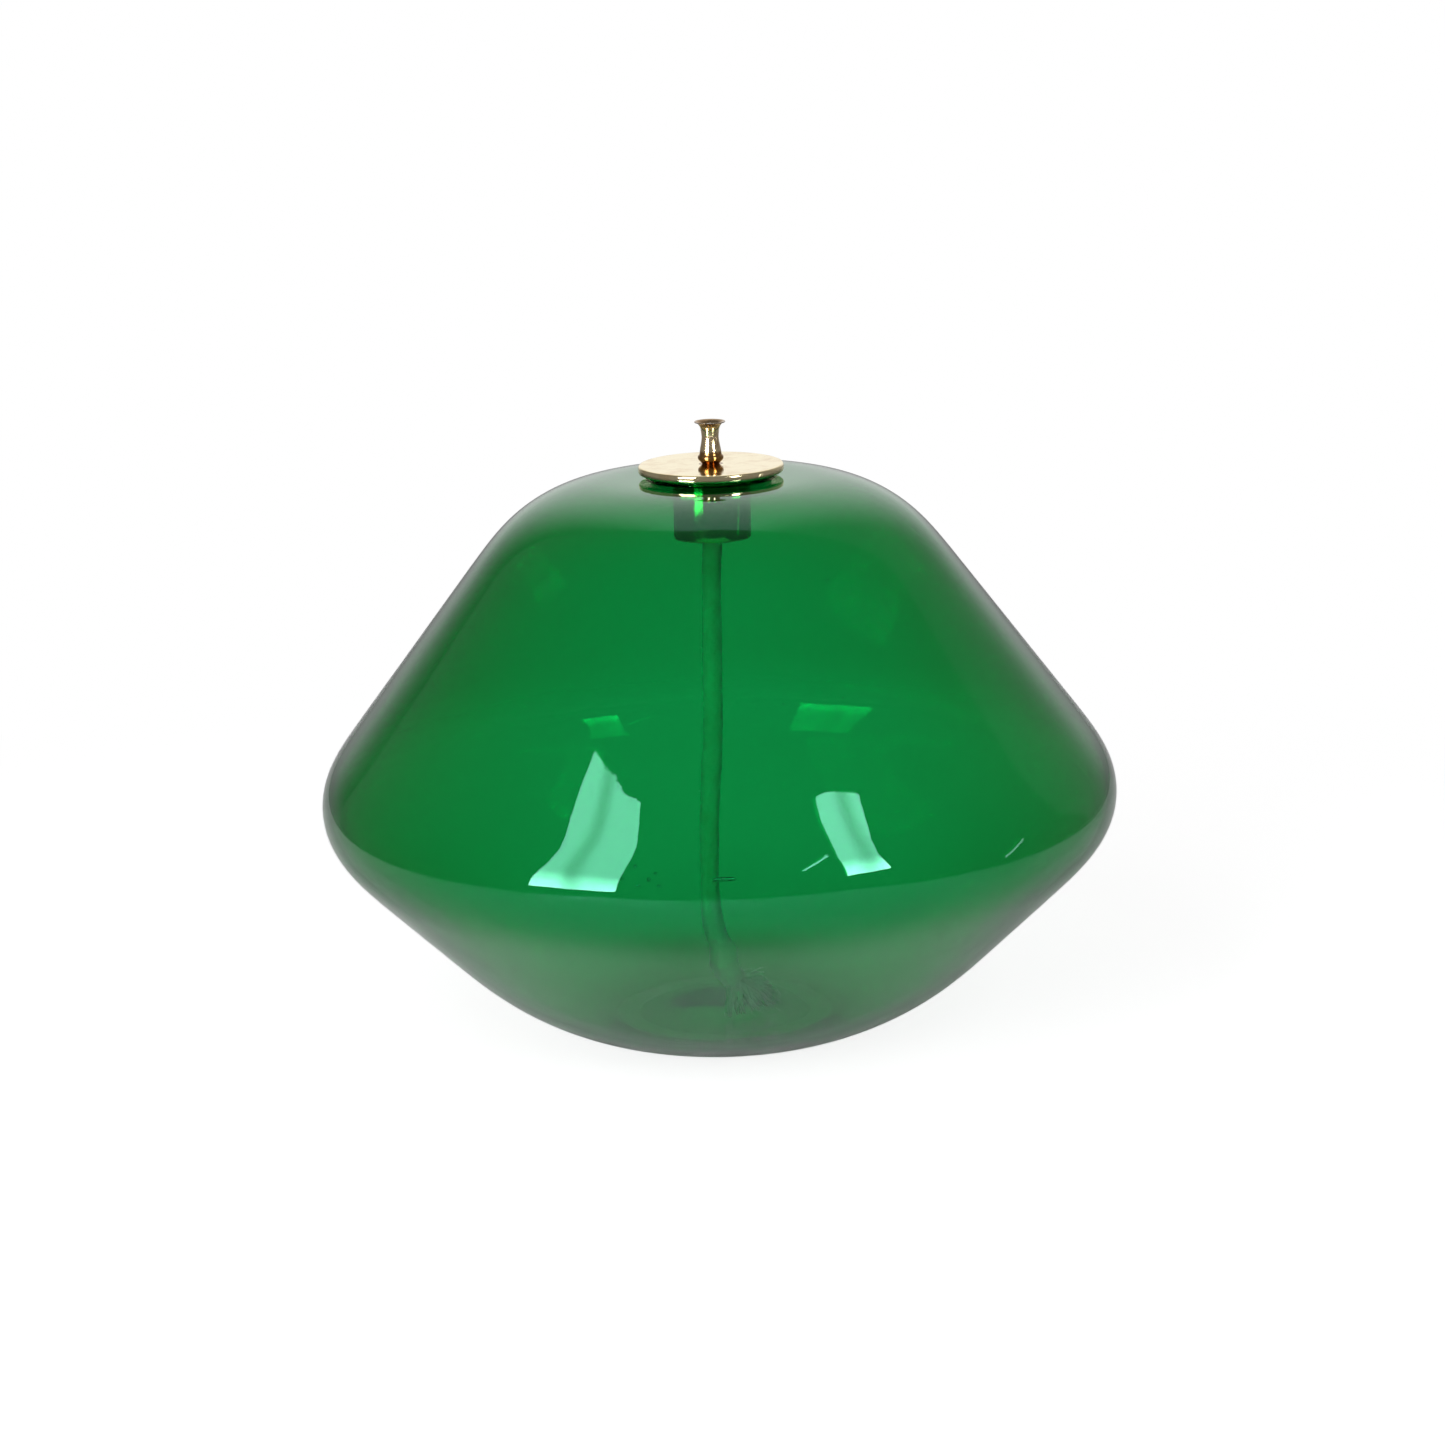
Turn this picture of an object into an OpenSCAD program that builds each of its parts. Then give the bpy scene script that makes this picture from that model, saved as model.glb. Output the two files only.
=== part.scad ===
// Table oil lamp: a blown glass vessel that rests on its own foot, with a small brass
// wick burner standing loosely in its neck. Millimetres, +Z up, and the origin is in the
// middle of the foot, on the table.

/* [Glass vessel] */
// Largest diameter of the vessel
body_d = 200; // [190:1:210]
// Height of the widest point above the table
widest_h = 61.2; // [59:0.1:63]
// Height of the flat crown around the neck
crown_h = 141; // [138:0.5:144]
// Slope of the lower cone, in degrees from the table
lower_slope = 44.9; // [43:0.1:47]
// Slope of the upper cone, in degrees from the table
upper_slope = 52.6; // [51:0.1:54]
// Outer radius of the rounded belly edge
belly_round = 19.5; // [16:0.5:23]
// Outer radius of the rounded shoulder
shoulder_round = 38.9; // [35:0.1:41]
// Outer radius of the rounded base
base_round = 74.6; // [70:0.1:80]
// Depth ground off the rounded base to make the flat foot
foot_cut = 1.2; // [0.9:0.1:1.8]
// Width of the ring that the vessel stands on
foot_ring_w = 6; // [4:0.5:8]
// Height of the hollow pushed up under the base
kick_up = 2.2; // [1:0.1:3]
// Thickness of the glass wall
wall = 2; // [1.8:0.1:2.6]
// Height of the inner floor where it meets the wall
floor_h = 3.4; // [3:0.1:5]
// Radius that blends the inner floor into the wall
floor_round = 50; // [40:1:58]
// Extra height of the inner floor in its middle
floor_rise = 1.6; // [1:0.1:2.5]

/* [Neck] */
// Diameter of the neck opening
neck_bore_d = 20.8; // [20.4:0.1:22]
// Outer diameter of the raised neck ring
neck_ring_d = 30; // [27:0.5:33]
// Height of the neck ring above the crown
neck_ring_h = 1.2; // [0.8:0.1:1.6]
// Rounding of the fire-polished lips of the neck opening
lip_round = 1.1; // [0.8:0.1:1.2]

/* [Burner] */
// Diameter of the cover plate
plate_d = 36; // [33:0.5:40]
// Thickness of the cover plate
plate_t = 2; // [1.6:0.1:2.4]
// Rounding of the cover plate's edge
plate_edge = 0.6; // [0.3:0.1:0.8]
// Outer diameter of the guide collar
collar_d = 19; // [17:0.1:19.6]
// Length of the guide collar
collar_len = 16; // [13:0.5:20]
// Thickness of the guide collar's sheet
collar_t = 0.8; // [0.6:0.1:1]
// Bore of the wick tube
tube_bore_d = 3.5; // [3.3:0.1:3.8]
// Outer diameter of the wick tube's threaded tail
tail_d = 6; // [5.6:0.1:6.6]
// Length of the tail below the cover plate
tail_len = 6.4; // [6.2:0.1:7]
// Width of the lock nut across its flats
nut_af = 10; // [9:0.5:12]
// Thickness of the lock nut
nut_t = 3.6; // [3:0.1:4]
// Outer diameter of the washer under the nut
washer_d = 12.4; // [11:0.2:14]
// Thickness of the washer
washer_t = 0.8; // [0.6:0.1:1]

/* [Wick] */
// Diameter of the wick where it hangs free
wick_d = 4.8; // [4.2:0.1:5]
// Gap all round between the squeezed wick and the tube's bore
wick_gap = 0.07; // [0.05:0.01:0.1]
// Width of the frayed end
fray_w = 13; // [8:0.5:14]
// Thickness of the frayed end
fray_t = 3.4; // [2.4:0.2:4]

/* [Hidden] */
$fn = 96;
eps = 0.01;
arc_step = 4;                // degrees between the points of a rounded outline

seat_h = crown_h + neck_ring_h;                // the cover plate rests at this height
plate_top = seat_h + plate_t;

// Outward directions of the two cone walls, as [radial, up]
lower_out = [sin(lower_slope), -cos(lower_slope)];
upper_out = [sin(upper_slope), cos(upper_slope)];

// Centres of the outline's round stretches, each found from the one that it runs into
belly_c = [body_d / 2 - belly_round, widest_h];
base_c = beside(belly_c, belly_round, base_round, base_round - foot_cut, lower_out);
shoulder_c = beside(belly_c, belly_round, shoulder_round, crown_h - shoulder_round, upper_out);
foot_r = base_c.x + sqrt(pow(base_round, 2) - pow(base_c.y, 2));
foot_in_r = foot_r - foot_ring_w;
inner_base_r = base_round - wall;
floor_c_h = floor_h + floor_round;
floor_c = [base_c.x + sqrt(pow(inner_base_r - floor_round, 2) - pow(base_c.y - floor_c_h, 2)),
    floor_c_h];
floor_join = atan2(floor_c.y - base_c.y, floor_c.x - base_c.x);
bore_r = neck_bore_d / 2;
ring_r = neck_ring_d / 2;

// Outline of the wick tube above the cover plate, as [height above the plate, radius]
TUBE_SHAPE = [[0, 2.1], [0.5, 2.5], [1.0, 3.0], [1.5, 3.2], [2.0, 3.1], [2.4, 2.75], [3.1, 2.65],
    [4.0, 2.5], [5.0, 2.3], [6.0, 2.15], [6.8, 2.1], [7.8, 2.2], [8.8, 2.35], [9.5, 2.65],
    [10.1, 3.2], [10.3, 3.8]];
tube_rim_h = 10.5;           // height of the flared rim above the plate
flare_depth = 2.2;           // depth over which the bore opens into the flare
flare_power = 2.4;           // how late the bore opens
flare_edge = 0.2;            // width of the rim's edge

// Centre line of the wick, from its tip in the flare down to the frayed end on the floor
WICK_ROUTE = [[0, 0, 154], [0, 0, 146], [0, 0, 138], [0, 0, 130.4], [-0.2, 0, 125.5],
    [-0.5, 0, 118], [-0.7, 0, 107], [-0.9, 0, 96], [-1, 0, 84], [-1.4, 0, 72], [-2.2, 0, 62.5],
    [-2.7, 0, 53], [-2.9, -0.2, 45], [-3.1, -0.8, 37.2], [-2.9, -1.6, 31], [-2.7, -2.5, 25.8],
    [-2.2, -3.4, 21.4], [-1.4, -4.3, 18.4], [-0.4, -5.2, 16.5], [0.8, -6.1, 15.2],
    [2.1, -6.9, 14], [3.4, -7.5, 12.3], [4.6, -8, 10.2], [5.4, -8.4, 8.2]];
WICK_SQUEEZED = 4;           // rings from the tip that are squeezed to the tube's bore
WICK_FRAYED = 3;             // rings at the foot over which the end spreads
WICK_SIDES = 10;
fray_turn = 35;              // direction in which the frayed end spreads, in degrees from +X

// Centre at a height of a circle of radius r whose tangent in direction out is also one of the
// circle of radius r0 about c0
function beside(c0, r0, r, height, out) =
    [(out * c0 + r0 - r - out.y * height) / out.x, height];

// Points along an arc, from angle a0 to a1
function arc(c, r, a0, a1) = let (n = max(2, ceil(abs(a1 - a0) / arc_step)))
    [for (i = [0:n]) let (a = a0 + (a1 - a0) * i / n) c + r * [cos(a), sin(a)]];

function reversed(points) = [for (i = [len(points) - 1:-1:0]) points[i]];

// Point at radius x of a soft round hill of radius r and height h on the axis
function hill(x, r, h) = [x, h * (1 + cos(180 * x / r)) / 2];

// Belly and shoulder outline at a depth below the outer surface
function belly_arc(depth) = arc(belly_c, belly_round - depth, lower_slope - 90, 90 - upper_slope);
function shoulder_arc(depth) = arc(shoulder_c, shoulder_round - depth, 90 - upper_slope, 90);

function outer_outline() = concat(
    [for (i = [0:8]) hill(foot_in_r * i / 8, foot_in_r, kick_up)],
    arc(base_c, base_round, atan2(-base_c.y, foot_r - base_c.x), lower_slope - 90),
    belly_arc(0),
    shoulder_arc(0),
    arc([ring_r + neck_ring_h, seat_h], neck_ring_h, -90, -180),
    arc([bore_r + lip_round, seat_h - lip_round], lip_round, 90, 180));

function inner_outline() = concat(
    arc([bore_r + lip_round, crown_h - wall + lip_round], lip_round, 180, 270),
    reversed(shoulder_arc(wall)),
    reversed(belly_arc(wall)),
    arc(base_c, inner_base_r, lower_slope - 90, floor_join),
    arc(floor_c, floor_round, floor_join, -90),
    [for (i = [1:8]) [0, floor_h] + hill(floor_c.x * (1 - i / 8), floor_c.x, floor_rise)]);

// Smooth curve through points: Catmull-Rom, with steps points to each span
function smooth(points, steps) = let (last = len(points) - 1)
    [for (i = [0:last - 1]) for (j = [0:steps - 1]) let (
        p0 = points[max(i - 1, 0)], p1 = points[i], p2 = points[i + 1],
        p3 = points[min(i + 2, last)], t = j / steps)
        0.5 * (2 * p1 + (p2 - p0) * t + (2 * p0 - 5 * p1 + 4 * p2 - p3) * t * t
            + (3 * p1 - p0 - 3 * p2 + p3) * t * t * t),
     points[last]];

// Half widths of the wick's ring i: squeezed in the tube, round below it, spread at the end
function wick_half(i) = let (
    r = i < WICK_SQUEEZED ? tube_bore_d / 2 - wick_gap : wick_d / 2,
    spread = max(0, i - (len(WICK_ROUTE) - 1 - WICK_FRAYED)) / WICK_FRAYED)
    [r + (fray_w / 2 - r) * pow(spread, 1.5), r + (fray_t / 2 - r) * spread];

function unit(v) = v / norm(v);

// Ring i of the wick: an oval across the route, wide along fray_turn
function wick_ring(i) = let (
    last = len(WICK_ROUTE) - 1,
    along = unit(WICK_ROUTE[min(i + 1, last)] - WICK_ROUTE[max(i - 1, 0)]),
    across = [cos(fray_turn), sin(fray_turn), 0],
    wide = unit(across - (across * along) * along),
    thick = cross(along, wide),
    half = wick_half(i))
    [for (k = [0:WICK_SIDES - 1]) let (a = 360 * k / WICK_SIDES)
        WICK_ROUTE[i] + half[0] * cos(a) * wide + half[1] * sin(a) * thick];

// Free-blown vessel, open at the neck, with a ground foot and a raised neck ring
module glass_vessel() {
    color([0.0, 0.5, 0.25, 0.5])
        rotate_extrude()
            polygon(concat(outer_outline(), inner_outline()));
}

// Polished disc that closes the neck and carries the wick tube
module cover_plate() {
    r = plate_d / 2;
    color([0.86, 0.68, 0.36])
        translate([0, 0, seat_h])
            rotate_extrude()
                polygon(concat([[tail_d / 2, 0]],
                    arc([r - plate_edge, plate_edge], plate_edge, -90, 0),
                    arc([r - plate_edge, plate_t - plate_edge], plate_edge, 0, 90),
                    [[tail_d / 2, plate_t]]));
}

// Drawn cup that centres the burner in the neck, open downwards
module guide_collar() {
    r = collar_d / 2;
    draw_r = 1.6;
    color([0.8, 0.62, 0.32])
        translate([0, 0, seat_h])
            rotate_extrude()
                polygon(concat([[tail_d / 2, 0]],
                    arc([r - draw_r, -draw_r], draw_r, 90, 0),
                    [[r, -collar_len], [r - collar_t, -collar_len]],
                    arc([r - draw_r, -draw_r], draw_r - collar_t, 0, 90),
                    [[tail_d / 2, -collar_t]]));
}

// Turned nozzle: bead, swelling, waist and flared rim above the plate, and a plain tail below
module wick_tube() {
    bore = tube_bore_d / 2;
    rim = TUBE_SHAPE[len(TUBE_SHAPE) - 1][1];
    outside = [for (p = smooth(TUBE_SHAPE, 3)) [p[1], p[0]]];
    flare = [for (i = [0:6]) let (t = i / 6)
        [bore + (rim - flare_edge - bore) * pow(1 - t, flare_power), tube_rim_h - flare_depth * t]];
    color([0.84, 0.62, 0.34])
        translate([0, 0, plate_top])
            rotate_extrude()
                polygon(concat([[bore, -plate_t - tail_len], [tail_d / 2, -plate_t - tail_len],
                    [tail_d / 2, 0]], outside, [[rim, tube_rim_h]], flare));
}

// Flat ring between the collar and the nut
module washer() {
    color([0.78, 0.6, 0.32])
        translate([0, 0, seat_h - collar_t - washer_t])
            difference() {
                cylinder(d = washer_d, h = washer_t);
                translate([0, 0, -eps]) cylinder(d = tail_d, h = washer_t + 2 * eps);
            }
}

// Hexagon nut that clamps the tube, plate and collar together
module lock_nut() {
    color([0.78, 0.6, 0.32])
        translate([0, 0, seat_h - collar_t - washer_t - nut_t])
            difference() {
                cylinder(d = nut_af / cos(30), h = nut_t, $fn = 6);
                translate([0, 0, -eps]) cylinder(d = tail_d, h = nut_t + 2 * eps);
            }
}

// Round cotton wick, hanging from the tube to the floor of the vessel
module wick() {
    rings = len(WICK_ROUTE);
    color([0.93, 0.91, 0.84])
        polyhedron(
            points = [for (i = [0:rings - 1]) each wick_ring(i)],
            faces = concat([[for (k = [0:WICK_SIDES - 1]) k]],
                [for (i = [0:rings - 2]) for (k = [0:WICK_SIDES - 1])
                    let (a = i * WICK_SIDES + k, b = i * WICK_SIDES + (k + 1) % WICK_SIDES)
                    [a, a + WICK_SIDES, b + WICK_SIDES, b]],
                [[for (k = [WICK_SIDES - 1:-1:0]) (rings - 1) * WICK_SIDES + k]]));
}

glass_vessel();
cover_plate();
guide_collar();
wick_tube();
washer();
lock_nut();
wick();
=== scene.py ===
"""Table oil lamp: looks for the green glass vessel, the brass burner and the cotton wick.

Lengths are metres, in the frame of the CAD model: +Z up, origin in the middle of the foot.
Outlines are lists of (radius, height) points that go round from the axis or the bore.
"""

import random
from math import atan2, ceil, cos, degrees, exp, hypot, pi, radians, sin, sqrt, tan

import bmesh
import bpy
from mathutils import Matrix, Vector, noise


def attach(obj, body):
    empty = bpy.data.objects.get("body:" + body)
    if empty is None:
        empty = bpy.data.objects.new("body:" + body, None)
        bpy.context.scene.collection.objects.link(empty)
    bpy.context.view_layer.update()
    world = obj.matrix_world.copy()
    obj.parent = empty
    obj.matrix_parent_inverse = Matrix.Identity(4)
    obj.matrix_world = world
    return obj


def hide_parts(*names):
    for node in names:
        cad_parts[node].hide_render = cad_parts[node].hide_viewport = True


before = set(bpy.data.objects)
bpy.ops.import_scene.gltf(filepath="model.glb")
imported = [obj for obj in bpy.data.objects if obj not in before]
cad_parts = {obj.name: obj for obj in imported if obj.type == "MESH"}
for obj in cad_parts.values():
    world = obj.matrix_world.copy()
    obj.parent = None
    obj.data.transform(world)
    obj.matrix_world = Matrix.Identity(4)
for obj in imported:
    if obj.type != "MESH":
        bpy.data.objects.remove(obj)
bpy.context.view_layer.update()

MM = 0.001
FULL = 2 * pi

# ---------------------------------------------------------------- sizes of the lamp
BODY_R = 100 * MM
WIDEST_H = 61.2 * MM
CROWN_H = 141 * MM
LOWER_SLOPE = 44.9
UPPER_SLOPE = 52.6
BELLY_ROUND = 19.5 * MM
SHOULDER_ROUND = 38.9 * MM
BASE_ROUND = 74.6 * MM
FOOT_CUT = 1.2 * MM
FOOT_RING_W = 6 * MM
KICK_UP = 2.2 * MM
WALL = 2 * MM
FLOOR_H = 3.4 * MM
FLOOR_ROUND = 50 * MM
FLOOR_RISE = 1.6 * MM
NECK_BORE_R = 10.4 * MM
NECK_RING_R = 15 * MM
NECK_RING_H = 1.2 * MM
LIP_ROUND = 1.1 * MM

SEAT_H = CROWN_H + NECK_RING_H
PLATE_R = 18 * MM
PLATE_T = 2 * MM
PLATE_TOP = SEAT_H + PLATE_T
PLATE_EDGE = 0.6 * MM
COLLAR_R = 9.5 * MM
COLLAR_LEN = 16 * MM
COLLAR_T = 0.8 * MM
COLLAR_DRAW = 1.6 * MM
TUBE_BORE_R = 1.75 * MM
TAIL_R = 3 * MM
TAIL_LEN = 6.4 * MM
NUT_FLATS_R = 5 * MM
NUT_T = 3.6 * MM
WASHER_R = 6.2 * MM
WASHER_T = 0.8 * MM
THREAD_PITCH = 0.75 * MM
THREAD_DEPTH = 0.32 * MM

# Outline of the wick tube above the plate: (height above the plate, radius)
TUBE_SHAPE = [
    (0, 2.1), (0.5, 2.5), (1.0, 3.0), (1.5, 3.2), (2.0, 3.1), (2.4, 2.75), (3.1, 2.65),
    (4.0, 2.5), (5.0, 2.3), (6.0, 2.15), (6.8, 2.1), (7.8, 2.2), (8.8, 2.35), (9.5, 2.65),
    (10.1, 3.2), (10.3, 3.8),
]
TUBE_RIM_H = 10.5 * MM
FLARE_DEPTH = 2.2 * MM
FLARE_POWER = 2.4
FLARE_EDGE = 0.2 * MM

# Centre line of the wick from its tip down to the frayed end, as in the CAD model
WICK_ROUTE = [
    (0, 0, 154), (0, 0, 146), (0, 0, 138), (0, 0, 130.4), (-0.2, 0, 125.5), (-0.5, 0, 118),
    (-0.7, 0, 107), (-0.9, 0, 96), (-1, 0, 84), (-1.4, 0, 72), (-2.2, 0, 62.5), (-2.7, 0, 53),
    (-2.9, -0.2, 45), (-3.1, -0.8, 37.2), (-2.9, -1.6, 31), (-2.7, -2.5, 25.8),
    (-2.2, -3.4, 21.4), (-1.4, -4.3, 18.4), (-0.4, -5.2, 16.5), (0.8, -6.1, 15.2),
    (2.1, -6.9, 14), (3.4, -7.5, 12.3), (4.6, -8, 10.2), (5.4, -8.4, 8.2),
]
WICK_R = 2.4 * MM
WICK_SQUEEZED_R = 1.66 * MM
WICK_FREE_H = 130.4 * MM      # below this height the wick opens out to its full thickness
WICK_FULL_H = 125.5 * MM

# ---------------------------------------------------------------- camera
CAMERA_DISTANCE = 0.85577
CAMERA_ELEVATION = 15.475
CAMERA_ROLL = -1.493
LOOK_AT = Vector((0, 0, 0.05876))
LENS = 84.15
SENSOR = 36.0
CAMERA_SHIFT = (0.00207, 0.05174)


def make_camera():
    data = bpy.data.cameras.new("camera")
    data.sensor_width = SENSOR
    data.lens = LENS
    data.shift_x, data.shift_y = CAMERA_SHIFT
    camera = bpy.data.objects.new("camera", data)
    tilt = radians(CAMERA_ELEVATION)
    place = LOOK_AT + CAMERA_DISTANCE * Vector((0, -cos(tilt), sin(tilt)))
    turn = Matrix.Rotation(radians(90 - CAMERA_ELEVATION), 4, "X")
    roll = Matrix.Rotation(radians(CAMERA_ROLL), 4, "Z")
    camera.matrix_world = Matrix.Translation(place) @ turn @ roll
    bpy.context.collection.objects.link(camera)
    bpy.context.scene.camera = camera


make_camera()


# ---------------------------------------------------------------- mesh helpers
def new_object(name, verts, faces, material, sharp=None):
    mesh = bpy.data.meshes.new(name)
    mesh.from_pydata([tuple(v) for v in verts], [], faces)
    mesh.validate()
    for polygon in mesh.polygons:
        polygon.use_smooth = True
    if sharp is not None:
        mesh.set_sharp_from_angle(angle=radians(sharp))
    obj = bpy.data.objects.new(name, mesh)
    bpy.context.collection.objects.link(obj)
    mesh.materials.append(material)
    return obj


def arc(centre, radius, start, end, step=3.0):
    """Points along an arc, with angles in degrees from the radial direction."""
    count = max(2, ceil(abs(end - start) / step))
    points = []
    for i in range(count + 1):
        angle = radians(start + (end - start) * i / count)
        points.append((centre[0] + radius * cos(angle), centre[1] + radius * sin(angle)))
    return points


def catmull(points, steps):
    """Smooth curve through points of any dimension, with steps points to each span."""
    last = len(points) - 1
    result = []
    for i in range(last):
        p0, p1 = Vector(points[max(i - 1, 0)]), Vector(points[i])
        p2, p3 = Vector(points[i + 1]), Vector(points[min(i + 2, last)])
        for j in range(steps):
            t = j / steps
            result.append(0.5 * (2 * p1 + (p2 - p0) * t + (2 * p0 - 5 * p1 + 4 * p2 - p3) * t * t
                                 + (3 * p1 - p0 - 3 * p2 + p3) * t * t * t))
    result.append(Vector(points[last]))
    return result


def refine(outline, longest):
    """The outline with its long straight stretches cut into even pieces."""
    result = [outline[0]]
    for (r0, z0), (r1, z1) in zip(outline, outline[1:]):
        count = max(1, ceil(hypot(r1 - r0, z1 - z0) / longest))
        for i in range(1, count + 1):
            result.append((r0 + (r1 - r0) * i / count, z0 + (z1 - z0) * i / count))
    return result


ON_AXIS = 1e-7                # a point nearer the axis than this lies on it


def lathe_mesh(outline, segments, closed, shape=None):
    """Turns an outline about the Z axis. A closed outline runs round a bore, an open one starts and
    ends on the axis. shape(i, angle, radius, height), if given, returns each point's own radius
    and height."""
    verts, faces, rings = [], [], []
    for i, (radius, height) in enumerate(outline):
        if radius < ON_AXIS:
            rings.append([len(verts)])
            verts.append((0, 0, height))
            continue
        ring = []
        for k in range(segments):
            angle = FULL * k / segments
            r, z = (radius, height) if shape is None else shape(i, angle, radius, height)
            ring.append(len(verts))
            verts.append((r * cos(angle), r * sin(angle), z))
        rings.append(ring)
    pairs = list(zip(rings, rings[1:]))
    if closed:
        pairs.append((rings[-1], rings[0]))
    for low, high in pairs:
        for k in range(segments):
            n = (k + 1) % segments
            if len(low) == 1:
                faces.append((low[0], high[n], high[k]))
            elif len(high) == 1:
                faces.append((low[k], low[n], high[0]))
            else:
                faces.append((low[k], low[n], high[n], high[k]))
    return verts, faces


def lathe(name, outline, segments, material, sharp=35, shape=None):
    verts, faces = lathe_mesh(outline, segments, True, shape)
    return new_object(name, verts, faces, material, sharp)


# ---------------------------------------------------------------- node helpers
class Nodes:
    """A material's node tree, with short ways to add and link nodes."""

    def __init__(self, name):
        self.material = bpy.data.materials.new(name)
        self.material.use_nodes = True
        self.tree = self.material.node_tree
        self.tree.nodes.clear()
        self.output = self.add("ShaderNodeOutputMaterial")

    def add(self, kind, **values):
        node = self.tree.nodes.new(kind)
        for key, value in values.items():
            setattr(node, key, value)
        return node

    def feed(self, socket, value):
        """Links another node's output to a socket, or sets the socket to a plain value."""
        if isinstance(value, bpy.types.NodeSocket):
            self.tree.links.new(value, socket)
        else:
            socket.default_value = value

    def put(self, node, **values):
        """Feeds inputs by name: put(node, Scale=3, Vector=other.outputs[0])."""
        for key, value in values.items():
            self.feed(node.inputs[key.replace("_", " ")], value)
        return node

    def place(self):
        return self.add("ShaderNodeTexCoord").outputs["Object"]

    def math(self, operation, a, b=0.0, clamp=False):
        node = self.add("ShaderNodeMath", operation=operation, use_clamp=clamp)
        for socket, value in zip(node.inputs, (a, b)):
            self.feed(socket, value)
        return node.outputs[0]

    def scaled(self, vector, scale):
        node = self.add("ShaderNodeVectorMath", operation="MULTIPLY")
        self.feed(node.inputs[0], vector)
        self.feed(node.inputs[1], scale)
        return node.outputs[0]

    def noise(self, vector, scale, detail, roughness):
        node = self.add("ShaderNodeTexNoise")
        self.put(node, Vector=vector, Scale=scale, Detail=detail, Roughness=roughness)
        return node.outputs[0]

    def stripes(self, value, scale, detail, roughness):
        """Noise that changes with one value only."""
        node = self.add("ShaderNodeTexNoise", noise_dimensions="1D")
        self.put(node, W=value, Scale=scale, Detail=detail, Roughness=roughness)
        return node.outputs[0]

    def ramp(self, value, low, high, to_low=0.0, to_high=1.0):
        node = self.add("ShaderNodeMapRange", interpolation_type="SMOOTHSTEP")
        for socket, item in zip(node.inputs, (value, low, high, to_low, to_high)):
            self.feed(socket, item)
        return node.outputs[0]

    def mix(self, factor, a, b):
        node = self.add("ShaderNodeMix", data_type="RGBA")
        for socket, value in ((node.inputs[0], factor), (node.inputs[6], a), (node.inputs[7], b)):
            self.feed(socket, value)
        return node.outputs[2]

    def stops(self, value, stops):
        """Colour by value: stops is a list of (value, (red, green, blue))."""
        low, high = stops[0][0], stops[-1][0]
        node = self.add("ShaderNodeValToRGB")
        self.feed(node.inputs[0],
                  self.math("DIVIDE", self.math("SUBTRACT", value, low), high - low))
        steps = node.color_ramp.elements
        for at, colour in stops[1:-1]:
            steps.new((at - low) / (high - low)).color = (*colour, 1)
        steps[0].color = (*stops[0][1], 1)
        steps[-1].color = (*stops[-1][1], 1)
        return node.outputs[0]

    def bump(self, height, distance):
        node = self.add("ShaderNodeBump")
        self.put(node, Height=height, Distance=distance, Strength=1.0)
        return node.outputs[0]

    def principled(self, **values):
        node = self.put(self.add("ShaderNodeBsdfPrincipled"), **values)
        self.tree.links.new(node.outputs[0], self.output.inputs["Surface"])
        return node


# ---------------------------------------------------------------- materials
GLASS_IOR = 1.5
GLASS_TINT = (0.0, 0.81, 0.575, 1)     # colour that the absorption leaves
GLASS_DENSITY = 1740
GLASS_SPECULAR = (0.35, 1.0, 0.85, 1)  # tint of what the glass reflects
GLASS_RIPPLE = (900, 2.0, 0.5)         # noise scale, detail and roughness
GLASS_GRIT = (9000, 2.0, 0.6)
RIPPLE_SHARE = 0.04                    # depth of the ripples as a share of GLASS_BUMP
GLASS_BUMP = 0.02 * MM
GROUND_UP_TO = (0.05 * MM, 0.25 * MM)  # heights over which the foot ring's ground face ends
GROUND_ROUGHNESS = 0.12


def glass_material():
    """Clear green glass, coloured through, with faint ripples and a ground foot ring."""
    n = Nodes("green_glass")
    place = n.place()
    axis = n.add("ShaderNodeSeparateXYZ")
    n.put(axis, Vector=place)
    ground = n.ramp(axis.outputs["Z"], *GROUND_UP_TO, GROUND_ROUGHNESS, 0.0)
    ripple = n.noise(place, *GLASS_RIPPLE)
    grit = n.math("MULTIPLY", n.noise(place, *GLASS_GRIT), ground)
    height = n.math("ADD", n.math("MULTIPLY", ripple, RIPPLE_SHARE), grit)
    n.principled(**{
        "Base Color": (1, 1, 1, 1),
        "Roughness": ground,
        "IOR": GLASS_IOR,
        "Transmission Weight": 1.0,
        "Specular Tint": GLASS_SPECULAR,
        "Normal": n.bump(height, GLASS_BUMP),
    })
    absorb = n.put(n.add("ShaderNodeVolumeAbsorption"), Color=GLASS_TINT, Density=GLASS_DENSITY)
    n.tree.links.new(absorb.outputs[0], n.output.inputs["Volume"])
    return n.material


# Each noise is its scale, detail and roughness; each range is where a noise fades in
BRASS_LINES = (5200.0, 3.0, 0.7)
BRASS_BANDS = (900.0, 1.0, 0.5)
BRASS_CLOUD = (180, 4.0, 0.6)
BRASS_SPECKLE = (2600, 2.0, 0.5)
BRASS_SCRATCH = (1.0, 1.0, 0.4)
SCRATCH_STRETCH = (9000, 900, 2500)
CLOUD_RANGE = (0.42, 0.75)
SPECKLE_RANGE = (0.62, 0.78)
SCRATCH_RANGE = (0.66, 0.75)
LINES_PER_HEIGHT = 1.7        # how fast the lines follow the height, against 1 for the radius
SPECKLE_SHARE = 0.35          # of the tarnish
SCRATCH_DEPTH = -0.6          # in heights of the tool lines
TARNISH_ROUGHNESS = 0.22
BAND_ROUGHNESS = 0.05


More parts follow.
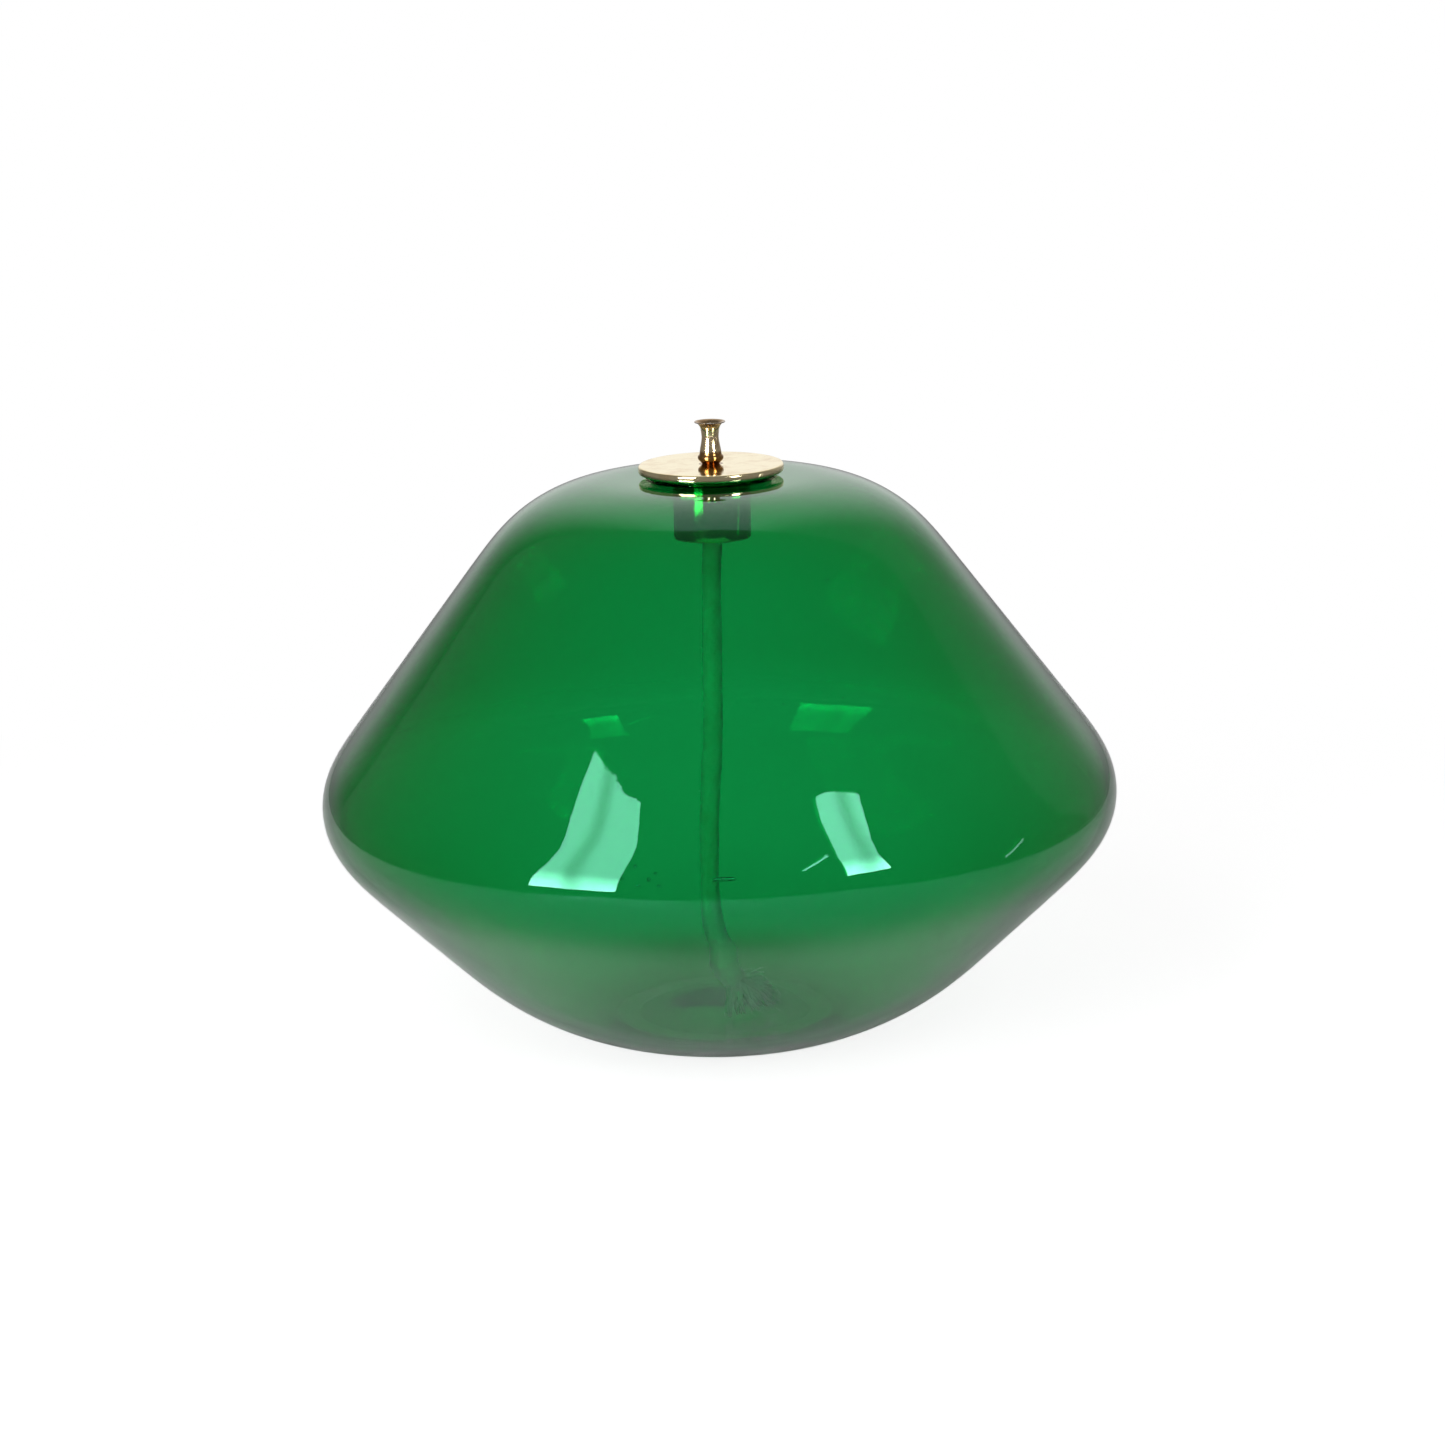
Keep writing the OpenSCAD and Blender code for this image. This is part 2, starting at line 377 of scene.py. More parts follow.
def brass_material(name, colour, dull, rough, line_height, wear):
    """Turned brass: fine tool lines round the axis, cloudy tarnish and small scratches. colour is
    one colour, or a list of (height, colour) stops."""
    n = Nodes(name)
    place = n.place()
    split = n.add("ShaderNodeSeparateXYZ")
    n.put(split, Vector=place)
    across = n.math("SQRT", n.math("ADD", n.math("POWER", split.outputs["X"], 2.0),
                                   n.math("POWER", split.outputs["Y"], 2.0)))
    along = n.math("ADD", across, n.math("MULTIPLY", split.outputs["Z"], LINES_PER_HEIGHT))
    lines = n.stripes(along, *BRASS_LINES)
    bands = n.stripes(along, *BRASS_BANDS)
    cloud = n.noise(place, *BRASS_CLOUD)
    speckle = n.ramp(n.noise(place, *BRASS_SPECKLE), *SPECKLE_RANGE)
    scratch = n.ramp(n.noise(n.scaled(place, SCRATCH_STRETCH), *BRASS_SCRATCH), *SCRATCH_RANGE)
    stain = n.math("ADD", n.ramp(cloud, *CLOUD_RANGE), n.math("MULTIPLY", speckle, SPECKLE_SHARE))
    tarnish = n.math("MULTIPLY", stain, wear, True)
    roughness = n.math("ADD", n.math("MULTIPLY", tarnish, TARNISH_ROUGHNESS),
                       n.math("ADD", rough, n.math("MULTIPLY", bands, BAND_ROUGHNESS)))
    height = n.math("ADD", lines, n.math("MULTIPLY", scratch, SCRATCH_DEPTH))
    if isinstance(colour, list):
        colour = n.stops(split.outputs["Z"], colour)
    n.principled(**{
        "Base Color": n.mix(tarnish, colour, dull),
        "Metallic": 1.0,
        "Roughness": roughness,
        "Normal": n.bump(height, line_height),
    })
    return n.material


COTTON_STRETCH = (1, 1, 0.3)  # the fibres' grain is longer upwards
COTTON_FIBRE = (4.0, 0.65)    # noise detail and roughness
COTTON_PATCH = (260, 3.0, 0.6)
COTTON_RANGE = (0.35, 0.7)
COTTON_BUMP = 0.09 * MM


def cotton_material(name, colour, shade, scale):
    """Soft cotton yarn: fine fibre grain, patchy colour and a fuzzy sheen."""
    n = Nodes(name)
    place = n.place()
    fibre = n.noise(n.scaled(place, COTTON_STRETCH), scale, *COTTON_FIBRE)
    patch = n.noise(place, *COTTON_PATCH)
    colour_mix = n.math("ADD", n.math("MULTIPLY", n.ramp(fibre, *COTTON_RANGE), 0.5),
                        n.math("MULTIPLY", n.ramp(patch, *COTTON_RANGE), 0.5))
    n.principled(**{
        "Base Color": n.mix(colour_mix, shade, colour),
        "Roughness": 0.9,
        "Sheen Weight": 0.35,
        "Sheen Roughness": 0.5,
        "Specular IOR Level": 0.2,
        "Normal": n.bump(fibre, COTTON_BUMP),
    })
    return n.material


DARK_FOOT_BAND = (0.36, 0.19, 0.06)
BRIGHT = (0.97, 0.79, 0.49)
DARK_RIM_BAND = (0.36, 0.25, 0.14)
# The wick tube's colour changes by height: darker bands round its foot and along its rim, a bright
# band between
TUBE_COLOURS = [
    (PLATE_TOP - 1.0 * MM, DARK_FOOT_BAND), (PLATE_TOP + 2.9 * MM, DARK_FOOT_BAND),
    (PLATE_TOP + 3.5 * MM, BRIGHT), (PLATE_TOP + 9.3 * MM, BRIGHT),
    (PLATE_TOP + 10.0 * MM, DARK_RIM_BAND), (PLATE_TOP + 11.0 * MM, DARK_RIM_BAND),
]

# The brasses: colour, colour where dull, roughness, height of the tool lines, and wear
GLASS = glass_material()
BRASS = brass_material("polished_brass", (0.93, 0.80, 0.48, 1), (0.62, 0.36, 0.14, 1), 0.06,
                       0.0016 * MM, 0.45)
TUBE_BRASS = brass_material("banded_brass", TUBE_COLOURS, (0.40, 0.22, 0.09, 1), 0.10,
                            0.0016 * MM, 0.7)
PLAIN_BRASS = brass_material("plain_brass", (0.83, 0.62, 0.32, 1), (0.45, 0.29, 0.13, 1), 0.2,
                             0.004 * MM, 0.8)
# The cottons: colour, colour in the shade of the fibres, and scale of the fibres' grain
COTTON = cotton_material("cotton", (0.93, 0.92, 0.87, 1), (0.80, 0.78, 0.70, 1), 2600)
STRAND_COTTON = cotton_material("cotton_strands", (0.97, 0.97, 0.94, 1), (0.90, 0.89, 0.84, 1),
                                4200)


# ---------------------------------------------------------------- wick
WICK_STEP = 0.25 * MM


def wick_line():
    """Points along the wick, WICK_STEP apart, from its tip down."""
    step = WICK_STEP
    dense = [p * MM for p in catmull(WICK_ROUTE, 24)]
    points, left = [dense[0]], step
    for a, b in zip(dense, dense[1:]):
        span = (b - a).length
        while left <= span:
            a = a.lerp(b, left / span)
            points.append(a)
            span = (b - a).length
            left = step
        left -= span
    return points


def frames_along(points):
    """Direction and two cross directions at each point, turning as little as they can."""
    frames = []
    side = Vector((1, 0, 0))
    for i in range(len(points)):
        along = (points[min(i + 1, len(points) - 1)] - points[max(i - 1, 0)]).normalized()
        side = (side - along * side.dot(along)).normalized()
        frames.append((along, side, along.cross(side)))
    return frames


def smoothstep(low, high, x):
    t = min(1.0, max(0.0, (x - low) / (high - low)))
    return t * t * (3 - 2 * t)


BRAID_CARRIERS = 8
BRAID_PITCH = 11 * MM
BRAID_RELIEF = 0.26 * MM
YARN_MIDDLE = 0.75            # mean of a yarn's heights over and under another one
YARN_WEAVE = 0.5              # how much higher it is over another yarn than under it
BRAID_GAP = 0.15              # how far the surface dips where two yarns cross
BRAID_LEVEL = 0.9             # the braid height that lies on the wick's own radius


def braid_height(angle, s):
    """Height of a round braid's surface: two sets of yarns that pass over and under each other."""
    turn = BRAID_CARRIERS * angle / FULL
    u = turn + BRAID_CARRIERS * s / BRAID_PITCH * 0.5
    v = turn - BRAID_CARRIERS * s / BRAID_PITCH * 0.5
    over = cos(pi * u) * cos(pi * v)
    a = sqrt(max(0.0, 1 - (2 * abs(u - round(u))) ** 2))
    b = sqrt(max(0.0, 1 - (2 * abs(v - round(v))) ** 2))
    lift = 0.5 * (-1) ** (int(round(u)) + int(round(v))) * YARN_WEAVE
    return max(a * (YARN_MIDDLE + lift), b * (YARN_MIDDLE - lift)) - BRAID_GAP * abs(over)


WICK_SIDES = 64
LOOSE_FROM = 34 * MM          # the braid works loose and swells between these heights
LOOSE_TO = 19 * MM
LOOSE_BY = 0.22
STRAND_START = 5 * MM         # the strands leave the wick this far before the route's end
TIP_LENGTH = 0.5 * MM         # the tip is rounded over this length
TIP_SHARE = 0.82              # and starts at this share of the radius
TAIL_LENGTH = 2 * MM
TAIL_NARROWS = 0.15
LUMP_LENGTH = 7 * MM
LUMP_HEIGHT = 0.16 * MM
SQUEEZED_RELIEF = 0.25        # share of the braid's relief that is left inside the tube
THICKEST = 1.09               # most that lumps and relief may bring it to, in radii


def make_wick():
    line = wick_line()
    axes = frames_along(line)
    step = (line[1] - line[0]).length
    cut = len(line) - int(STRAND_START / step)
    verts, faces = [], []
    for i in range(cut):
        along, side, up = axes[i]
        s = i * step
        free = smoothstep(WICK_FREE_H, WICK_FULL_H, line[i].z) if i else 0.0
        tip = smoothstep(0, TIP_LENGTH, s)
        tail = smoothstep(cut * step - TAIL_LENGTH, cut * step, s)
        loose = smoothstep(LOOSE_FROM, LOOSE_TO, line[i].z)
        radius = WICK_SQUEEZED_R + (WICK_R - WICK_SQUEEZED_R) * free
        radius *= TIP_SHARE + (1 - TIP_SHARE) * tip
        radius *= (1 + LOOSE_BY * loose) * (1 - TAIL_NARROWS * tail)
        shown = SQUEEZED_RELIEF + (1 - SQUEEZED_RELIEF) * free
        for k in range(WICK_SIDES):
            angle = FULL * k / WICK_SIDES
            lump = noise.noise(Vector((cos(angle), sin(angle), s / LUMP_LENGTH))) * LUMP_HEIGHT
            relief = (braid_height(angle, s) - BRAID_LEVEL) * BRAID_RELIEF * shown
            r = radius + min(relief, 0)
            if free:
                r = min(radius + (relief + lump) * free, WICK_R * (THICKEST + LOOSE_BY * loose))
            verts.append(line[i] + side * (r * cos(angle)) + up * (r * sin(angle)))
    for i in range(cut - 1):
        for k in range(WICK_SIDES):
            n = (k + 1) % WICK_SIDES
            a, b = i * WICK_SIDES, (i + 1) * WICK_SIDES
            faces.append((a + k, b + k, b + n, a + n))
    faces.append(tuple(range(WICK_SIDES)))
    faces.append(tuple((cut - 1) * WICK_SIDES + k for k in reversed(range(WICK_SIDES))))
    wick = new_object("wick_cord", verts, faces, COTTON)
    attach(wick, "wick")
    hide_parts("wick")
    return wick, line, axes, cut, step


def tube_along(points, radii, sides, verts, faces):
    """Adds a closed thin tube along points to verts and faces."""
    axes = frames_along(points)
    start = len(verts)
    for (along, side, up), point, radius in zip(axes, points, radii):
        for k in range(sides):
            angle = FULL * k / sides
            verts.append(point + side * (radius * cos(angle)) + up * (radius * sin(angle)))
    rings = len(points)
    for i in range(rings - 1):
        for k in range(sides):
            n = (k + 1) % sides
            a, b = start + i * sides, start + (i + 1) * sides
            faces.append((a + k, b + k, b + n, a + n))
    faces.append(tuple(start + k for k in range(sides)))
    faces.append(tuple(start + (rings - 1) * sides + k for k in reversed(range(sides))))


# Tips of the frayed end, from its upper right side round to its left front: (x, y, z) in mm
FAN_EDGE = [
    (10.8, -5, 12.6), (12.4, -4.4, 10.4), (13.4, -4, 8.6), (13.6, -3.6, 6.6), (13.4, -3.4, 4.9),
    (11.8, -5.4, 4.8), (9.4, -7.8, 4.7), (5.6, -11.6, 4.7), (2.6, -12.6, 4.7), (-0.2, -12.6, 4.7),
]


def floor_height(radius):
    """Height of the vessel's inner floor at a radius."""
    if radius > FLOOR_C[0]:
        return FLOOR_C[1] - sqrt(FLOOR_ROUND ** 2 - (radius - FLOOR_C[0]) ** 2)
    return FLOOR_H + hill(radius, FLOOR_C[0], FLOOR_RISE)[1]


STRANDS = 150
YARNS = 64                    # this many of the strands are yarns, and the rest single fibres
# shrink: range of their reach against the fan's edge; lift, wobble and radius are in mm
YARN = {"shrink": (0.82, 1.0), "lift": 1.4, "wobble": 0.5, "radius": (0.24, 0.36), "sides": 6}
FIBRE = {"shrink": (0.78, 1.06), "lift": 2.6, "wobble": 0.9, "radius": (0.045, 0.09), "sides": 4}
FIBRE_SPREAD = (0.5, 0.34)    # mean and spread of the fibres' places along the fan's edge
STRAND_ROOT = 14              # the strands start this many steps inside the wick
STRAND_POINTS = 14
STRAND_SPREAD = 0.8           # of the wick's radius
STRAND_TAPER = 0.55
STRAND_CLEAR = 0.12 * MM      # least gap to the floor
STRAND_WAVE = 0.12 * MM


def make_strands(line, axes, cut):
    """The yarns of the frayed end, which spread into a fan on the floor of the vessel."""
    rng = random.Random(7)
    edge = catmull(FAN_EDGE, 8)
    verts, faces = [], []
    root = cut - STRAND_ROOT
    for number in range(STRANDS):
        thick = number < YARNS
        kind = YARN if thick else FIBRE
        reach = rng.random() if thick else min(1.0, max(0.0, rng.gauss(*FIBRE_SPREAD)))
        place = reach * (len(edge) - 1)
        a = edge[int(place)]
        b = edge[min(int(place) + 1, len(edge) - 1)]
        tip = a.lerp(b, place - int(place)) * MM
        along, side, up = axes[root]
        angle = FULL * rng.random()
        out = WICK_R * STRAND_SPREAD * sqrt(rng.random())
        start = line[root] + side * (out * cos(angle)) + up * (out * sin(angle))
        tip = start + (tip - start) * rng.uniform(*kind["shrink"])
        tip.z += rng.uniform(0, kind["lift"]) * MM * rng.random()
        leaving = start + along * ((tip - start).length * 0.38)
        landing = tip.lerp(start, 0.35) + Vector((0, 0, rng.uniform(0.2, 1.6) * MM))
        wobble = Vector([rng.uniform(-1, 1) for _ in range(3)]) * kind["wobble"] * MM
        radius = rng.uniform(*kind["radius"]) * MM
        points, radii = [], []
        for i in range(STRAND_POINTS + 1):
            t = i / STRAND_POINTS
            p = (start * (1 - t) ** 3 + leaving * (3 * t * (1 - t) ** 2)
                 + landing * (3 * t * t * (1 - t)) + tip * t ** 3)
            p = p + wobble * (sin(FULL * t * 1.3 + number) * t)
            p = p + Vector((0, 0, sin(9 * t + number))) * STRAND_WAVE
            r = radius * (1.0 - STRAND_TAPER * t * t)
            p.z = max(p.z, floor_height(hypot(p.x, p.y)) + r + STRAND_CLEAR)
            points.append(p)
            radii.append(r)
        tube_along(points, radii, kind["sides"], verts, faces)
    strands = new_object("wick_strands", verts, faces, STRAND_COTTON)
    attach(strands, "wick")
    return strands


HAIRS = 1100
HAIRS_FROM = 27 * MM          # along the wick from its tip, which is below the tube
HAIR_LENGTH = (0.5, 1.5)      # in mm
HAIR_RADIUS = (0.018, 0.032)
HAIR_TAPER = (1.0, 1.0, 1.0, 0.8, 0.5)


def make_fuzz(line, axes, cut, step):
    """Loose fibre ends that stand off the surface of the wick."""
    rng = random.Random(11)
    verts, faces = [], []
    first = int(HAIRS_FROM / step)
    for _ in range(HAIRS):
        i = rng.randrange(first, cut - 2)
        along, side, up = axes[i]
        angle = FULL * rng.random()
        out = side * cos(angle) + up * sin(angle)
        round_it = along.cross(out)
        lean = rng.uniform(-1.4, 1.4)
        curl = rng.uniform(-1.2, 1.2)
        length = rng.uniform(*HAIR_LENGTH) * MM
        start = line[i] + out * (WICK_R * 0.93)
        points = []
        for j in range(len(HAIR_TAPER)):
            t = j / (len(HAIR_TAPER) - 1)
            points.append(start + out * (length * 0.62 * t) + along * (length * lean * t * 0.5)
                          + round_it * (length * curl * t * t * 0.5))
        radius = rng.uniform(*HAIR_RADIUS) * MM
        tube_along(points, [radius * share for share in HAIR_TAPER], 3, verts, faces)
    fuzz = new_object("wick_fuzz", verts, faces, STRAND_COTTON)
    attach(fuzz, "wick")
    return fuzz


# ---------------------------------------------------------------- glass outline
def beside(c0, r0, r, height, out):
    """Centre at a height of a circle of radius r that shares a tangent, with outward direction
    out, with the circle of radius r0 about c0."""
    return ((out[0] * c0[0] + out[1] * c0[1] + r0 - r - out[1] * height) / out[0], height)


LOWER_OUT = (sin(radians(LOWER_SLOPE)), -cos(radians(LOWER_SLOPE)))
UPPER_OUT = (sin(radians(UPPER_SLOPE)), cos(radians(UPPER_SLOPE)))
BELLY_C = (BODY_R - BELLY_ROUND, WIDEST_H)
BASE_C = beside(BELLY_C, BELLY_ROUND, BASE_ROUND, BASE_ROUND - FOOT_CUT, LOWER_OUT)
SHOULDER_C = beside(BELLY_C, BELLY_ROUND, SHOULDER_ROUND, CROWN_H - SHOULDER_ROUND, UPPER_OUT)
FOOT_R = BASE_C[0] + sqrt(BASE_ROUND ** 2 - BASE_C[1] ** 2)
FOOT_IN_R = FOOT_R - FOOT_RING_W
INNER_BASE_R = BASE_ROUND - WALL
FLOOR_C_H = FLOOR_H + FLOOR_ROUND
FLOOR_C = (BASE_C[0] + sqrt((INNER_BASE_R - FLOOR_ROUND) ** 2 - (BASE_C[1] - FLOOR_C_H) ** 2),
           FLOOR_C_H)
FLOOR_JOIN = degrees(atan2(FLOOR_C[1] - BASE_C[1], FLOOR_C[0] - BASE_C[0]))
LOW_ANGLE = LOWER_SLOPE - 90
HIGH_ANGLE = 90 - UPPER_SLOPE

BLEND = 5 * MM                # reach over which the glass flows from one curve into the next
TIGHT_ROUND = 17.6 * MM       # the belly edge is drawn this tight, and blending widens it again
TIGHT_SHIFT = ((BELLY_ROUND - TIGHT_ROUND)
               / (1 + LOWER_OUT[0] * UPPER_OUT[0] + LOWER_OUT[1] * UPPER_OUT[1]))
TIGHT_C = (BELLY_C[0] + TIGHT_SHIFT * (LOWER_OUT[0] + UPPER_OUT[0]),
           BELLY_C[1] + TIGHT_SHIFT * (LOWER_OUT[1] + UPPER_OUT[1]))


def hill(x, reach, height):
    """Point at radius x of a soft round hill of a height on the axis."""
    return (x, height * (1 + cos(pi * x / reach)) / 2)


def blurred(points, weights):
    """Weighted running mean of evenly spaced points, which keeps both ends."""
    reach = len(weights) // 2
    first, last = points[0], points[-1]
    before = [(2 * first[0] - p[0], 2 * first[1] - p[1]) for p in points[reach:0:-1]]
    after = [(2 * last[0] - p[0], 2 * last[1] - p[1]) for p in points[-2:-reach - 2:-1]]
    padded = before + points + after
    result = []
    for i in range(len(points)):
        near = padded[i:i + len(weights)]
        result.append((sum(w * p[0] for w, p in zip(weights, near)),
                       sum(w * p[1] for w, p in zip(weights, near))))
    return result


EVEN_STEP = 0.5 * MM
BLEND_REACH = 3               # the running mean reaches this many times BLEND
KEEP_EVERY = 3                # of the even points, once they are blended


def soften(points):
    """The outline with its changes of curvature spread along it, as in blown glass."""
    runs = [hypot(b[0] - a[0], b[1] - a[1]) for a, b in zip(points, points[1:])]
    count = round(sum(runs) / EVEN_STEP)
    step = sum(runs) / count
    even, start, i = [points[0]], 0.0, 0
    for k in range(1, count):
        while start + runs[i] < k * step:
            start += runs[i]
            i += 1
        t = (k * step - start) / runs[i]
        a, b = points[i], points[i + 1]
        even.append((a[0] + (b[0] - a[0]) * t, a[1] + (b[1] - a[1]) * t))
    even.append(points[-1])
    reach = int(BLEND_REACH * BLEND / step)
    weights = [exp(-0.5 * (j * step / BLEND) ** 2) for j in range(-reach, reach + 1)]
    total = sum(weights)
    return blurred(even, [w / total for w in weights])[:-1:KEEP_EVERY] + [points[-1]]


KICK_STEPS = 16
FLOOR_STEPS = 24


def outer_outline():
    foot_angle = degrees(atan2(-BASE_C[1], FOOT_R - BASE_C[0]))
    kick = [hill(FOOT_IN_R * i / KICK_STEPS, FOOT_IN_R, KICK_UP) for i in range(KICK_STEPS + 1)]
    wall = arc(BASE_C, BASE_ROUND, foot_angle, LOW_ANGLE, 1)
    wall += arc(TIGHT_C, TIGHT_ROUND, LOW_ANGLE, HIGH_ANGLE, 1)
    wall += arc(SHOULDER_C, SHOULDER_ROUND, HIGH_ANGLE, 90, 1)
    wall.append((NECK_RING_R + NECK_RING_H, CROWN_H))
    ring = arc((NECK_RING_R + NECK_RING_H, SEAT_H), NECK_RING_H, -90, -180, 15)
    lip = arc((NECK_BORE_R + LIP_ROUND, SEAT_H - LIP_ROUND), LIP_ROUND, 90, 180, 12)
    return kick + soften(wall) + ring + lip


def inner_outline():
    lip = arc((NECK_BORE_R + LIP_ROUND, CROWN_H - WALL + LIP_ROUND), LIP_ROUND, 180, 270, 12)
    wall = [(NECK_BORE_R + LIP_ROUND, CROWN_H - WALL)]
    wall += arc(SHOULDER_C, SHOULDER_ROUND - WALL, 90, HIGH_ANGLE, 1)
    wall += arc(TIGHT_C, TIGHT_ROUND - WALL, HIGH_ANGLE, LOW_ANGLE, 1)
    wall += arc(BASE_C, INNER_BASE_R, LOW_ANGLE, FLOOR_JOIN, 1)
    wall += arc(FLOOR_C, FLOOR_ROUND, FLOOR_JOIN, -90, 1)
    for i in range(1, FLOOR_STEPS + 1):
        x, z = hill(FLOOR_C[0] * (1 - i / FLOOR_STEPS), FLOOR_C[0], FLOOR_RISE)
        wall.append((x, FLOOR_H + z))
    return lip + soften(wall)


CLOSEST = 0.02 * MM


def without_repeats(points):
    """The points without those that are nearly where the one before them is."""
    result = [points[0]]
    for point in points[1:]:
        if hypot(point[0] - result[-1][0], point[1] - result[-1][1]) > CLOSEST:
            result.append(point)
    return result


GLASS_SEGMENTS = 384
GLASS_STEP = 2 * MM           # longest step along the glass outline
WAVE_HEIGHT = 0.018 * MM
WAVE_LENGTH = 26 * MM
OUTER_WAVES = Vector((0, 0, 3.1))       # where in the noise each side's waves are taken
INNER_WAVES = Vector((5.7, 2.3, 9.4))
INNER_WAVES_HIGHER = 2.2
SHORT_WAVES = 0.35            # height of the waves a third as long, as a share of the long ones


def make_glass():
    outer = without_repeats(refine(outer_outline(), GLASS_STEP))
    inner = without_repeats(refine(inner_outline(), GLASS_STEP))
    outline = outer + inner
    turn_at = len(outer)

    def wavy(i, angle, radius, height):
        """Free-blown glass is never quite even: soft waves, weaker at the neck and the foot."""
        a, b = outline[max(i - 1, 0)], outline[min(i + 1, len(outline) - 1)]
        length = hypot(b[0] - a[0], b[1] - a[1])
        out = ((b[1] - a[1]) / length, (a[0] - b[0]) / length)
        p = Vector((radius * cos(angle), radius * sin(angle), height))
        start = OUTER_WAVES if i < turn_at else INNER_WAVES
        wave = noise.noise(p / WAVE_LENGTH + start)
        wave += SHORT_WAVES * noise.noise(p / (WAVE_LENGTH / 3) + start)
        calm = smoothstep(CROWN_H + 0.2 * MM, CROWN_H - 6 * MM, height)
        calm *= smoothstep(1.0 * MM, 8 * MM, height)
        shift = WAVE_HEIGHT * (1.0 if i < turn_at else INNER_WAVES_HIGHER) * wave * calm
        return radius + out[0] * shift, height + out[1] * shift

    verts, faces = lathe_mesh(outline, GLASS_SEGMENTS, False, wavy)
    add_seeds(outline[:turn_at], verts, faces)
    glass = new_object("vessel_glass", verts, faces, GLASS, 40)
    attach(glass, "vessel")
    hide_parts("glass_vessel")


SEEDS = 14
SEED_HEIGHTS = (20, 136)      # in mm
SEED_LENGTHS = (0.2, 0.5)
SEED_WIDTH = 0.24
SEED_DEPTH = 0.8 * MM         # from the outer surface
# Seeds with a place of their own: (angle from +X in degrees, height, length, width, thickness),
# in mm
PLACED_SEEDS = [
    (-61.6, 125.2, 0.9, 0.4, 0.3), (-78.2, 100.6, 0.4, 0.3, 0.3), (-67, 101.2, 0.4, 0.3, 0.3),
    (-103.3, 66.6, 1.6, 0.5, 0.5), (-101.5, 69.2, 0.8, 0.9, 0.5), (-101.0, 65.0, 1.4, 0.5, 0.5),
    (-99.6, 66.8, 0.8, 0.9, 0.5), (-98.7, 68.6, 0.9, 0.5, 0.5), (-98.2, 65.9, 0.9, 0.6, 0.5),
    (-89.6, 66.5, 5.8, 1.0, 0.7),
]


def add_seeds(outline, verts, faces):
    """Seeds: tiny bubbles inside the wall, as closed shells that face inwards."""
    rng = random.Random(23)
    ball = bmesh.new()
    bmesh.ops.create_icosphere(ball, subdivisions=2, radius=1)
    ball_points = [v.co.copy() for v in ball.verts]
    ball_faces = [tuple(v.index for v in reversed(f.verts)) for f in ball.faces]
    ball.free()
    wall = [p for p in outline if 14 * MM < p[1] < CROWN_H - 4 * MM]
    seeds = [(360 * rng.random(), rng.uniform(*SEED_HEIGHTS), rng.uniform(*SEED_LENGTHS),
              SEED_WIDTH, SEED_WIDTH) for _ in range(SEEDS)]
    for angle, height, long, wide, thick in seeds + PLACED_SEEDS:
        i = min(range(1, len(wall) - 1), key=lambda k: abs(wall[k][1] - height * MM))
        (r0, z0), (r1, z1) = wall[i - 1], wall[i + 1]
        steep = atan2(r0 - r1, z1 - z0)
        place = Matrix.Rotation(radians(angle), 4, "Z")
        place @= Matrix.Translation((wall[i][0], 0, wall[i][1]))
        place @= Matrix.Rotation(-steep, 4, "Y")
        place @= Matrix.Translation((-SEED_DEPTH, 0, 0))
        place @= Matrix.Diagonal((thick * MM / 2, long * MM / 2, wide * MM / 2, 1))
        start = len(verts)
        verts += [place @ p for p in ball_points]
        faces += [tuple(start + k for k in face) for face in ball_faces]


# ---------------------------------------------------------------- burner
PLATE_SEGMENTS = 256
COLLAR_SEGMENTS = 192
TUBE_SEGMENTS = 96
WASHER_SEGMENTS = 96
NUT_SEGMENTS = 180
WIDE_STEP = 1.5 * MM          # longest step along the outline of the plate and the collar
SMALL_STEP = 1.2 * MM         # and of the tube and the washer


def make_cover_plate():
    bore = TAIL_R
    e = PLATE_EDGE
    outline = [(bore, SEAT_H), (bore + 0.1 * MM, SEAT_H)]
    outline += arc((PLATE_R - e, SEAT_H + e), e, -90, 0, 9)
    outline += arc((PLATE_R - e, PLATE_TOP - e), e, 0, 90, 9)
    outline += [(bore, PLATE_TOP)]
    plate = lathe("plate_disc", refine(without_repeats(outline), WIDE_STEP), PLATE_SEGMENTS,
                  BRASS)
    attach(plate, "burner")
    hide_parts("cover_plate")


def make_collar():
    r, t, draw = COLLAR_R, COLLAR_T, COLLAR_DRAW
    low = SEAT_H - COLLAR_LEN
    half = t / 2
    outline = [(TAIL_R, SEAT_H)]
    outline += arc((r - draw, SEAT_H - draw), draw, 90, 0, 9)
    outline += arc((r - half, low + half), half, 0, -180, 20)
    outline += arc((r - draw, SEAT_H - draw), draw - t, 0, 90, 9)
    outline += [(TAIL_R, SEAT_H - t)]
    collar = lathe("collar_cup", refine(without_repeats(outline), WIDE_STEP), COLLAR_SEGMENTS,
                   BRASS)
    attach(collar, "burner")
    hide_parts("guide_collar")


def thread(angle, height, depth):
    """Depth of a screw thread's groove at an angle and height."""
    turn = height / THREAD_PITCH - angle / FULL
    return depth * abs(2 * (turn - round(turn)))


